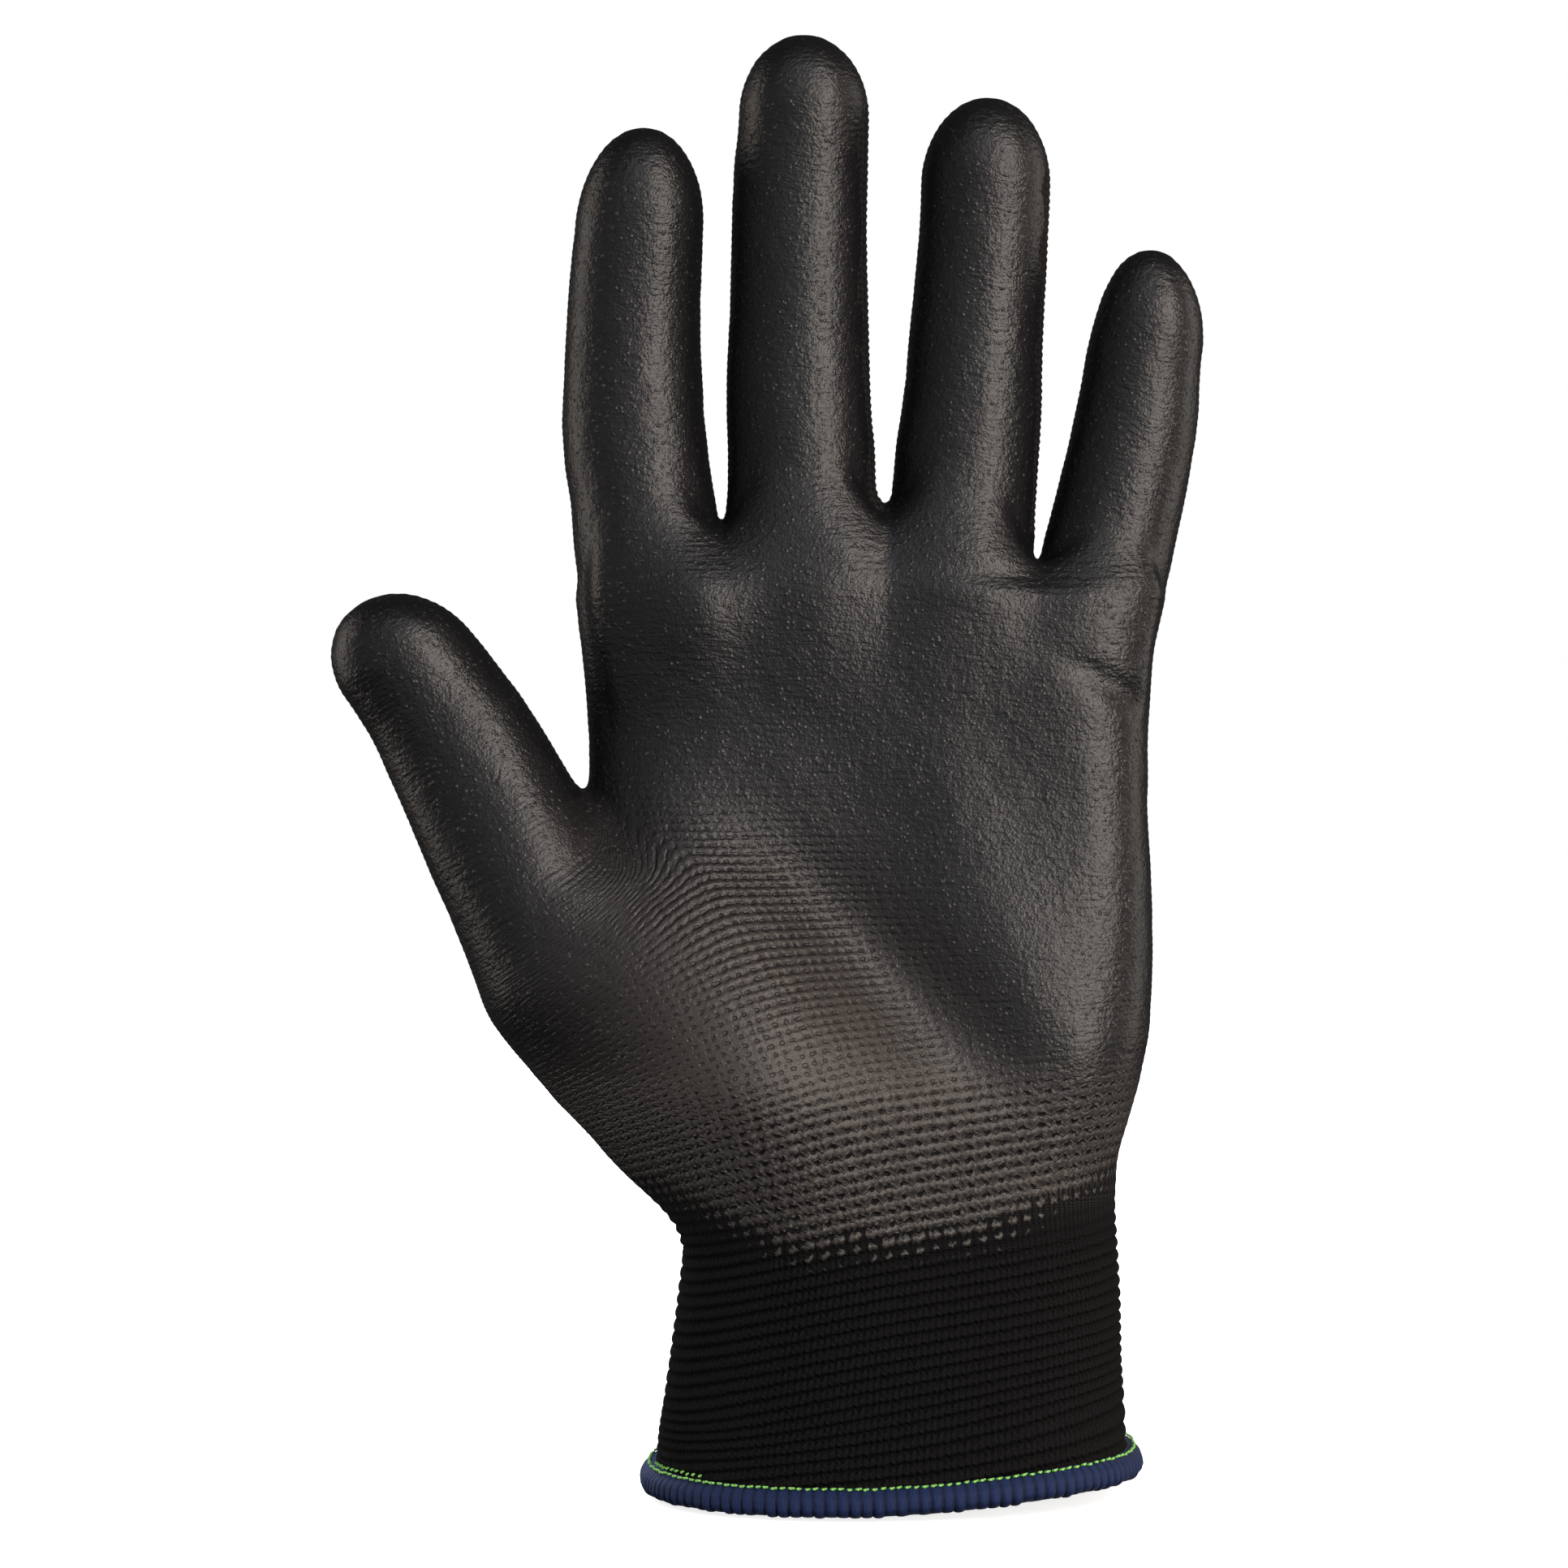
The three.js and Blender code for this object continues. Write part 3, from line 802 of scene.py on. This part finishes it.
class Knit:
    """What both the film and the bare knit read at a point, as Values in a material."""

    def __init__(self, m):
        self.where = m.attribute("rest", "Vector")
        for field in FIELDS:
            setattr(self, field, m.attribute(field))
        self.column, self.row = m.knit()
        self.waver = m.noise(self.where, 1.1) - 0.5
        self.loose = m.noise(self.where, 3.1) - 0.5
        self.uneven_row = self.row + self.waver * 0.30 + self.loose * 0.14
        self.scallop = (self.column * 1.7 + self.loose * 1.5 + self.row * 0.38).wave() - 0.5
        self.rib = (self.uneven_row + self.scallop * 0.16).wave().math("POWER", 0.5)
        self.loop_column = self.column * LOOP_WIDTH + self.waver * 0.45 + self.loose * 0.25
        self.gap = self.loop_column.wave() - 1.0
        self.loop = self.rib * (self.gap * 0.7 + 1.0)
        self.fine = m.noise(self.where, 0.40, 3.0)


def film_surface(m, at):
    """(height, shading) of the film: its grain, and the ribs, loops and pits that show through. The shading
    paints shade into rib hollows, loop holes and pits, and highlights onto specks, loop arches and thin
    film.
    """
    crinkle = m.noise(at.where, 1.0, 2.0)
    dashes = m.noise(m.stretched(at.column * 0.9, at.row * 1.9, at.waver * 2), 1.0, 2.0)
    specks = m.dots(at.where, 1.15).step(0.32, 0.10) * m.noise(at.where, 2.0).step(0.34, 0.54)
    pit_columns = (at.column * 1.3 + at.loose * 1.4 + at.row * 0.2).wave() - 1.0
    pits = ((at.uneven_row.wave() - 1.0) * pit_columns).step(0.40, 0.80) * at.thin
    hole = ((at.rib - 1.0) * at.gap).step(0.30, 0.75)
    across = at.loop_column.math("FRACT") - 0.5
    arch = (at.uneven_row.math("FRACT") - 0.62 + across * across * 1.5).math("ABSOLUTE").step(0.20, 0.02)
    ribs = at.show * at.rib * (at.scallop * 0.3 + 0.8)
    grain = at.fine * 0.10 + crinkle * 0.13 + dashes * 0.15 + specks * 0.08 - pits * 0.12
    height = grain + ribs * 0.18 + at.loops * (at.loop * 0.16 + arch * 0.34 - hole * 0.34)
    # Colour: painted shade in the rib hollows, loop holes and gaps between columns, and a painted highlight
    # on each loop's arch.
    painted_rib_and_loop_shading = at.show * (at.rib - 1.0) * 0.40 + at.loops * (arch * 0.50 - hole * 0.6 + at.gap * 0.22)
    # Colour: grain tone from crinkle and dashes, painted glints on the specks and painted shade in the pits.
    shades = crinkle * 0.12 + dashes * 0.14 + specks * 0.5 - pits * 0.28
    # Thin film is lighter: partly its own colour over the yarn, partly a painted highlight.
    return height, shades + 0.33 + painted_rib_and_loop_shading + at.thin * 0.78


def knit_surface(at):
    """(height, shading) of the bare knit: stitches, and ridges where elastic is laid in. The shading paints
    highlights on the tops of the yarns and shade between them and between the ridges.
    """
    column = at.column + at.waver * 0.25 + at.loose * 0.2
    stitch = stitch_shape(column, at.uneven_row * at.ridge.mix(1.0, 2.0))
    height = stitch * at.ridge.mix(0.30, 0.24) + at.ridge * at.rib * 0.30 + at.fine * 0.10
    # Colour: painted highlight on top of the yarns, painted shade between them and between the cuff's
    # ridges.
    depth = (stitch * at.ridge.mix(1.0, 0.42) + 0.04) * (at.ridge * (at.rib - 1.0) * 0.75 + 1.0)
    return height, depth


def glove_material(name):
    """Knit, and film over it where the cover attribute says so."""
    m = Material(name)
    at = Knit(m)
    film = (at.cover * 1.6 + (at.loop - 1.0) * at.loops.mix(0.5, 1.1)).step(0.30, 0.62)
    film_height, film_shading = film_surface(m, at)
    knit_height, knit_shading = knit_surface(at)
    # The colour ramp paints shade into hollows and highlights onto stitch tops, loop arches, specks and thin
    # film, over the fabric's own near-black.
    m.colour(film.mix(knit_shading, film_shading) * SHADING_SCALE, FABRIC_SHADE_TO_HIGHLIGHT)
    gloss = m.noise(at.where, 7.0, 3.0) * 0.12 + at.fine * 0.08 + at.thin * 0.10 + 0.25
    connect(m.shader.inputs["Specular IOR Level"], film.mix(0.18, 0.5))
    return m.finish(film.mix(knit_height, film_height), film.mix(0.85, gloss))


film_look = glove_material("film")
knit_look = glove_material("knit")


# NAVY runs from painted shade between the binding's threads to their own navy on the crests.
NAVY = ((0.0, (0.001, 0.002, 0.008)), (0.45, (0.005, 0.013, 0.055)), (1.0, (0.013, 0.035, 0.13)))
# LIME runs from painted shade in the twist's hollows to the thread's bright green.
LIME = ((0.0, (0.17, 0.62, 0.09)), (1.0, (0.48, 1.0, 0.24)))


def hem_material():
    """Navy thread lying side by side: columns are threads, rows are mm along them."""
    m = Material("hem_thread", Specular_IOR_Level=0.3, Sheen_Weight=0.1, Sheen_Roughness=0.4)
    where = m.attribute("rest", "Vector")
    column, row = m.knit()
    strands = m.noise(m.stretched(column * 7, row * 0.9, 0.0), 1.0, 3.0)
    fuzz = m.noise(where, 0.3, 2.0)
    # The crest of each thread is lighter and the hollow between threads gets painted shade; strands vary the
    # tone.
    crest = m.attribute("show")
    shade = crest * 0.55 + strands * 0.45
    m.colour(shade, NAVY)
    return m.finish(strands * 0.16 + fuzz * 0.05, strands * 0.2 + 0.6)


def needle_material():
    """Bright green twisted thread: rows are mm along it."""
    m = Material("needle_thread", Specular_IOR_Level=0.4, Sheen_Weight=0.2)
    column, row = m.knit()
    # The twist puts painted shade in the hollows between the thread's plies.
    twist = (column + row * 1.6).wave()
    m.colour(twist, LIME)
    return m.finish(twist * 0.08, twist * 0.1 + 0.5)


# ---- the hand and digits ----

SLEEVES = {3: ("base", "mid", "tip"), 2: ("base", "tip")}
FOLDS = {3: ("root", "middle", "end"), 2: ("root", "end")}
THUMB_BENDS = ((-5.0, 13.0), (13.6, 27.4))  # clear of the web, along the thumb


def bends(digit):
    """Where a digit bends, along its axis: (start, end) at each joint."""
    if digit is THUMB:
        return THUMB_BENDS
    a, b = np.diff(digit.at)
    return [(at - half, at + half) for at, half in zip(digit.at, (0.4 * a, 0.58 * b, 0.4 * b))]


def ownership(c):
    """For points c: the index of the digit each is on, or -1, and its segment of that digit."""
    owner, segment = np.full(len(c), -1), np.zeros(len(c), int)
    nearest = np.full(len(c), 4.0)
    hand = hand_distance(c)
    for index, digit in enumerate(DIGITS):
        zones = bends(digit)
        s, _, _ = digit.local(c)
        near = digit.distance(c)
        here = (s > zones[0][0]) & (near < nearest)
        if digit is THUMB:
            here &= near < hand
        cuts = [(low[1] + high[0]) / 2 for low, high in zip(zones, zones[1:])]
        owner[here], nearest[here] = index, near[here]
        segment[here] = np.searchsorted(cuts, s[here])
    return owner, segment


def lining(points, quads, owner):
    """The inside of the glove as a part: plain knit, facing in."""
    knit = hand_stitches(points) if owner < 0 else DIGITS[owner].stitches(points)
    columns = DIGITS[owner].columns if owner >= 0 else WALES
    return plain_part(points, quads[:, ::-1], -point_normals(points, quads), knit, columns)


points, quads = surface(VOXEL, HAND_LOW)
points, quads = halve(settle(points), quads)
points, quads = above(settle(points), quads, HAND_LOW)
points = settle(points, 1)
points[:, 2] = np.maximum(points[:, 2], HAND_LOW)
owners, segments = ownership(points[quads].mean(1))
skin = Skin(points, quads, owners)
covered = skin.fields["cover"][quads].mean(1) > 0.5

inner_points, inner_quads = surface(INNER_VOXEL, HAND_LOW, WALL)
inner_points, inner_quads = above(inner_points, inner_quads, HAND_LOW)
inner_owners, inner_segments = ownership(inner_points[inner_quads].mean(1))


def lined(part, owner, segment):
    """A knit part with the lining behind it."""
    chosen = inner_owners == owner
    if segment is not None:
        chosen &= inner_segments == segment
    return joined(part, lining(*compact(inner_points, inner_quads[chosen]), owner))


on_hand = owners == -1
palm_film = skin.part(on_hand & covered, -1)
palm_knit = lined(skin.part(on_hand & ~covered, -1), -1, None)
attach(make_piece("palm_film", palm_film, film_look, ["palm_coating"]), "palm")
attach(make_piece("palm_knit", palm_knit, knit_look, ["palm_sleeve"]), "palm")

for index, digit in enumerate(DIGITS):
    zones = bends(digit)
    names, folds = SLEEVES[len(zones)], FOLDS[len(zones)]
    for k, (name, fold, (start, end)) in enumerate(zip(names, folds, zones)):
        here = (owners == index) & (segments == k)
        sleeve = f"{digit.name}_{name}"
        film_part = skin.part(here & covered, index)
        knit_part = lined(skin.part(here & ~covered, index), index, k)
        knit_nodes = [f"{sleeve}_sleeve", f"{digit.name}_{fold}_fold"]
        film = make_piece(f"{sleeve}_film", film_part, film_look, [f"{sleeve}_coating"])
        knit = make_piece(f"{sleeve}_knit", knit_part, knit_look, knit_nodes)
        for piece in (film, knit):
            digit.place(start)
            digit.place(end)
            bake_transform(piece)


# ---- the cuff ----

CUFF_LOW = 1.2  # the cuff's cut edge, inside the binding
HEM_LIFT = 3.0  # the hem hangs higher on the little finger's side


def hang(points):
    """Points of the cuff and hem with the hem's lift."""
    lift = HEM_LIFT * smooth(-8, 42, points[:, 0]) * smooth(34, 4, points[:, 2])
    return points + np.stack([np.zeros_like(lift), np.zeros_like(lift), lift], -1)


row_step = CUFF_COURSE / RIDGE_ROWS
cuff_heights = np.linspace(CUFF_LOW, HAND_LOW, round((HAND_LOW - CUFF_LOW) / row_step) + 1)
cuff_turns = np.arange(CUFF_COLUMNS) / CUFF_COLUMNS * TAU
cuff_points = ring(cuff_heights, cuff_turns)
cuff_quads = grid_quads(len(cuff_heights), CUFF_COLUMNS)
cuff_skin = Skin(cuff_points, cuff_quads, np.full(len(cuff_quads), -1))
cuff_skin.points = hang(cuff_skin.points)
heel = cuff_skin.fields["cover"][cuff_quads].mean(1) > 0.05

LINING_COLUMNS = 120
lining_heights = np.linspace(CUFF_LOW, HAND_LOW, 30)
lining_points = hang(ring(lining_heights, np.arange(LINING_COLUMNS) / LINING_COLUMNS * TAU, WALL))
cuff_lining = lining(lining_points, grid_quads(len(lining_heights), LINING_COLUMNS), -1)
wrist_bend = ((0, 0, (WRIST - RISE) * MM), (0, 0, HAND_LOW * MM))
cuff_knit = make_piece("cuff_rib", joined(cuff_skin.part(~heel, -1), cuff_lining), knit_look,
                       ["cuff_knit", "wrist_fold", "cuff_elastic_band"])
heel_film = make_piece("heel_film", cuff_skin.part(heel, -1), film_look, [])
for piece in (cuff_knit, heel_film):
    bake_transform(piece)


# ---- the hem's binding and its needle thread ----

BINDING_THREADS = 138
THREAD_COLUMNS = 8  # columns of mesh to one thread
# The binding's section: distance out from the cuff's surface, share of the hem's height.
BINDING = ((-1.8, 0.92), (-2.6, 0.78), (-2.9, 0.48), (-2.5, 0.16), (-1.2, 0.04), (0.6, 0.03), (1.9, 0.14),
           (2.6, 0.36), (2.5, 0.62), (1.7, 0.86), (0.7, 1.0), (-0.1, 1.02))
hem_columns = BINDING_THREADS * THREAD_COLUMNS
hem_turns = np.arange(hem_columns) / hem_columns * TAU
hem_base = ring(np.array([HEM_LOW + 3.0]), hem_turns)
hem_out = gradient(hem_base)
hem_out[:, 2] = 0
hem_out /= np.linalg.norm(hem_out, axis=1, keepdims=True)

section = np.array([(out, HEM_LOW + share * (HEM_HIGH - HEM_LOW)) for out, share in BINDING])
lengths = np.concatenate([[0], np.cumsum(np.linalg.norm(np.diff(section, axis=0), axis=1))])
fine = np.linspace(0, lengths[-1], 44)
section = np.stack([spline(lengths, section[:, 0])(fine), spline(lengths, section[:, 1])(fine)], -1)

along = np.arange(hem_columns) / THREAD_COLUMNS
thread_index = np.floor(along)
thread_random = np.random.RandomState(11)
fullness = thread_random.uniform(0.6, 1.15, BINDING_THREADS)[thread_index.astype(int)]
drop = thread_random.uniform(-0.28, 0.22, BINDING_THREADS)[thread_index.astype(int)]
crest = np.abs(np.sin(math.pi * along)) ** 0.55
wavy = 0.35 * np.sin(3 * hem_turns + 0.6) + 0.22 * np.sin(7 * hem_turns + 2.0)


def hem_row(out, z):
    """The binding's points at one place of its section. Threads are rounder towards the bottom."""
    low_share = 1 - smooth(0.15, 0.95, (z - HEM_LOW) / (HEM_HIGH - HEM_LOW))
    groove = (0.10 + 0.42 * low_share) * (crest * fullness - 0.6)
    swell = out + np.sign(out) * groove * min(abs(out), 1.5) / 1.5 + 0.15 * wavy * (out > 0)
    height = z + drop * low_share * (crest - 0.3) - 0.25 * groove * low_share
    height = np.where(out < -2, z, height) + 0.10 * wavy
    row_points = hem_base + hem_out * swell[:, None]
    row_points[:, 2] = np.maximum(height, HEM_LOW)
    return row_points


hem_points = np.concatenate([hem_row(out, z) for out, z in section])
hem_quads = grid_quads(len(section), hem_columns)[:, ::-1]
hem_knit = (np.tile(along, len(section)), np.repeat(fine, hem_columns))
hem_normals = point_normals(hem_points, hem_quads)
binding = plain_part(hang(hem_points), hem_quads, hem_normals, hem_knit, BINDING_THREADS,
                     np.tile(crest, len(section)), hem_points)
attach(make_piece("hem_overlock", binding, hem_material(), ["hem_binding"]), "cuff")

STITCH_PITCH = 1.32
STITCH_LENGTH = 1.02
THREAD_RADIUS = 0.22
STITCH_SIDES, STITCH_RINGS = 8, 7
SECOND_ROW = (-1.3, -0.8)  # turns about the cuff between which a second line of stitches shows


def stitch(centre, tangent, outward, length, slant, lift):
    """One stitch of thread: a tube that rises out of the cloth and dips back in at both ends."""
    t = np.linspace(-1, 1, STITCH_RINGS)
    up = np.cross(outward, tangent)
    up *= np.sign(up[2])
    spine = (centre + tangent * (t * length / 2)[:, None] + up * (slant * t)[:, None]
             + outward * (lift * (1 - t * t))[:, None])
    radius = THREAD_RADIUS * (1 - 0.45 * t**4)
    turn = np.arange(STITCH_SIDES) / STITCH_SIDES * TAU
    ring_out = outward * np.cos(turn)[:, None] + up * np.sin(turn)[:, None]
    points = (spine[:, None] + ring_out[None] * radius[:, None, None]).reshape(-1, 3)
    return points, np.repeat(t * length / 2, STITCH_SIDES), np.tile(turn / TAU, STITCH_RINGS)


def stitch_line(height, out, pitch, length, slant, span=(0, TAU), seed=5):
    """A line of stitches round the hem, as (points, rows, columns) of every stitch."""
    random = np.random.RandomState(seed)
    total = np.linalg.norm(np.diff(hem_base, axis=0, append=hem_base[:1]), axis=1)
    travelled = np.concatenate([[0], np.cumsum(total)])
    count = round(travelled[-1] / pitch)
    made = []
    for k in range(count):
        at = np.interp((k + 0.5) / count * travelled[-1], travelled[:-1], np.arange(hem_columns))
        i = int(at) % hem_columns
        turn = hem_turns[i] if hem_turns[i] < math.pi else hem_turns[i] - TAU
        if span != (0, TAU) and not span[0] < turn < span[1]:
            continue
        tangent = hem_base[(i + 1) % hem_columns] - hem_base[i]
        tangent /= np.linalg.norm(tangent)
        centre = hem_base[i] + hem_out[i] * (out + random.uniform(-0.06, 0.06))
        centre[2] = height + random.uniform(-0.1, 0.1) + 0.10 * wavy[i]
        made.append(stitch(centre, tangent, hem_out[i], length * random.uniform(0.85, 1.12),
                           slant + random.uniform(-0.05, 0.05), 0.2))
    return made


def stitch_quads(count):
    """The quads of that many stitches, one after the other, and those that close their ends."""
    size = STITCH_SIDES * STITCH_RINGS
    tube = grid_quads(STITCH_RINGS, STITCH_SIDES)
    around = np.arange(STITCH_SIDES)
    ends = []
    for k in range(count):
        for corner in (size * k + around[::-1], size * (k + 1) - STITCH_SIDES + around):
            ends += [[corner[0], corner[i], corner[i + 1], corner[i + 2]] for i in (1, 3, 5)]
    return np.concatenate([tube + size * k for k in range(count)] + [np.array(ends)])


stitches = stitch_line(HEM_HIGH + 0.15, 1.05, STITCH_PITCH, STITCH_LENGTH, 0.05)
stitches += stitch_line(HEM_HIGH + 0.85, 0.5, STITCH_PITCH, 0.6, 0.12, SECOND_ROW, 9)
thread_points = np.concatenate([made[0] for made in stitches])
thread_quads = stitch_quads(len(stitches))
thread_knit = tuple(np.concatenate([made[k] for made in stitches]) for k in (2, 1))
thread_normals = point_normals(thread_points, thread_quads)
thread = plain_part(hang(thread_points), thread_quads, thread_normals, thread_knit, 1, rest=thread_points)
needle_stitches = make_piece("hem_needle_stitches", thread, needle_material(),
                             ["hem_needle_thread"])
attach(needle_stitches, "cuff")


# ---- camera, lights and floor ----

CAMERA_AWAY = 0.6
CAMERA_AIM = (-0.0178, 0.0, 0.1169)
FRAME_WIDTH = 0.2608  # of the picture, at the glove's middle
SENSOR = 36.0

camera = bpy.data.cameras.new("camera")
camera.sensor_width = SENSOR
camera.lens = SENSOR * CAMERA_AWAY / FRAME_WIDTH
camera.clip_start = 0.01
camera_object = put(bpy.data.objects.new("camera", camera))
camera_object.location = Vector(CAMERA_AIM) - Vector((0, CAMERA_AWAY, 0))
camera_object.rotation_euler = (math.pi / 2, 0, 0)
bpy.context.scene.camera = camera_object

GLOVE_MIDDLE = Vector((0, 0, 0.12))
WARM = (1.0, 0.89, 0.80)
COOL = (0.90, 0.92, 1.0)
# Each light: name, degrees round from the camera's side, height, distance, width, length, watts, colour.
LIGHTS = (
    ("key", 35, 0.25, 0.95, 0.34, 0.9, 9.3, WARM),
    ("left", -52, 0.10, 0.95, 0.8, 1.0, 0.5, COOL),
    ("left rim", -100, 0.12, 0.90, 0.30, 0.9, 2.4, WARM),
    ("right rim", 100, 0.12, 0.90, 0.30, 0.9, 2.4, WARM),
    ("fill", 0, 0.10, 1.00, 1.1, 1.2, 1.6, COOL),
    ("top", 0, 0.75, 0.75, 0.8, 0.5, 1.5, COOL),
    ("back", 205, 0.35, 0.95, 0.9, 0.9, 24.0, COOL),
)
for name, around, height, away, wide, long, watts, tint in LIGHTS:
    light = bpy.data.lights.new(name, "AREA")
    light.shape = "RECTANGLE"
    light.size, light.size_y = wide, long
    light.energy = watts
    light.color = tint
    holder = put(bpy.data.objects.new(name, light))
    turn = math.radians(around)
    holder.location = (away * math.sin(turn), -away * math.cos(turn), GLOVE_MIDDLE.z + height)
    holder.rotation_euler = (GLOVE_MIDDLE - holder.location).to_track_quat("-Z", "Y").to_euler()
    holder.visible_glossy = name != "back"  # it only lights the cloth of the back

world = bpy.data.worlds.new("studio")
world.use_nodes = True
world.node_tree.nodes["Background"].inputs["Color"].default_value = (0.035, 0.035, 0.037, 1)
bpy.context.scene.world = world

DOME_RADIUS = 6.0
DOME_RINGS = 24
FLOOR_RINGS = (0.001, 0.2, 0.5, 1.0, 3.0)  # radii
FLOOR_HEIGHT = -0.0005
GROUND_SIDES = 48


def add_ground(name, rings, material):
    """A round surface through rings of (radius, height), behind or under the glove."""
    turns = np.arange(GROUND_SIDES) / GROUND_SIDES * TAU
    mesh = bpy.data.meshes.new(name)
    points = [(radius * math.cos(t), radius * math.sin(t), z) for radius, z in rings for t in turns]
    mesh.from_pydata(points, [], grid_quads(len(rings), GROUND_SIDES).tolist())
    mesh.materials.append(material.made)
    ground = put(bpy.data.objects.new(name, mesh))
    ground.visible_diffuse = ground.visible_glossy = ground.visible_shadow = False


white = Material("backdrop", Base_Color=(0, 0, 0, 1), Specular_IOR_Level=0.0,
                 Emission_Color=(1, 1, 1, 1), Emission_Strength=1.0)
dome_angles = np.linspace(0.001, math.pi - 0.001, DOME_RINGS)
add_ground("backdrop", [(DOME_RADIUS * math.sin(a), DOME_RADIUS * math.cos(a)) for a in dome_angles], white)

pale = Material("floor", Base_Color=(0.85, 0.85, 0.85, 1), Roughness=0.9, Specular_IOR_Level=0.1,
                Emission_Color=(1, 1, 1, 1))
spot = pale.tree.nodes.new("ShaderNodeNewGeometry")
reach = pale.tree.nodes.new("ShaderNodeVectorMath")
reach.operation = "LENGTH"
pale.tree.links.new(spot.outputs["Position"], reach.inputs[0])
glow = Value(reach.outputs["Value"]).step(0.05, 0.35).mix(0.8, 1.0)
connect(pale.shader.inputs["Emission Strength"], glow)
add_ground("floor", [(radius, FLOOR_HEIGHT) for radius in FLOOR_RINGS], pale)

bpy.context.scene.view_settings.view_transform = "Standard"
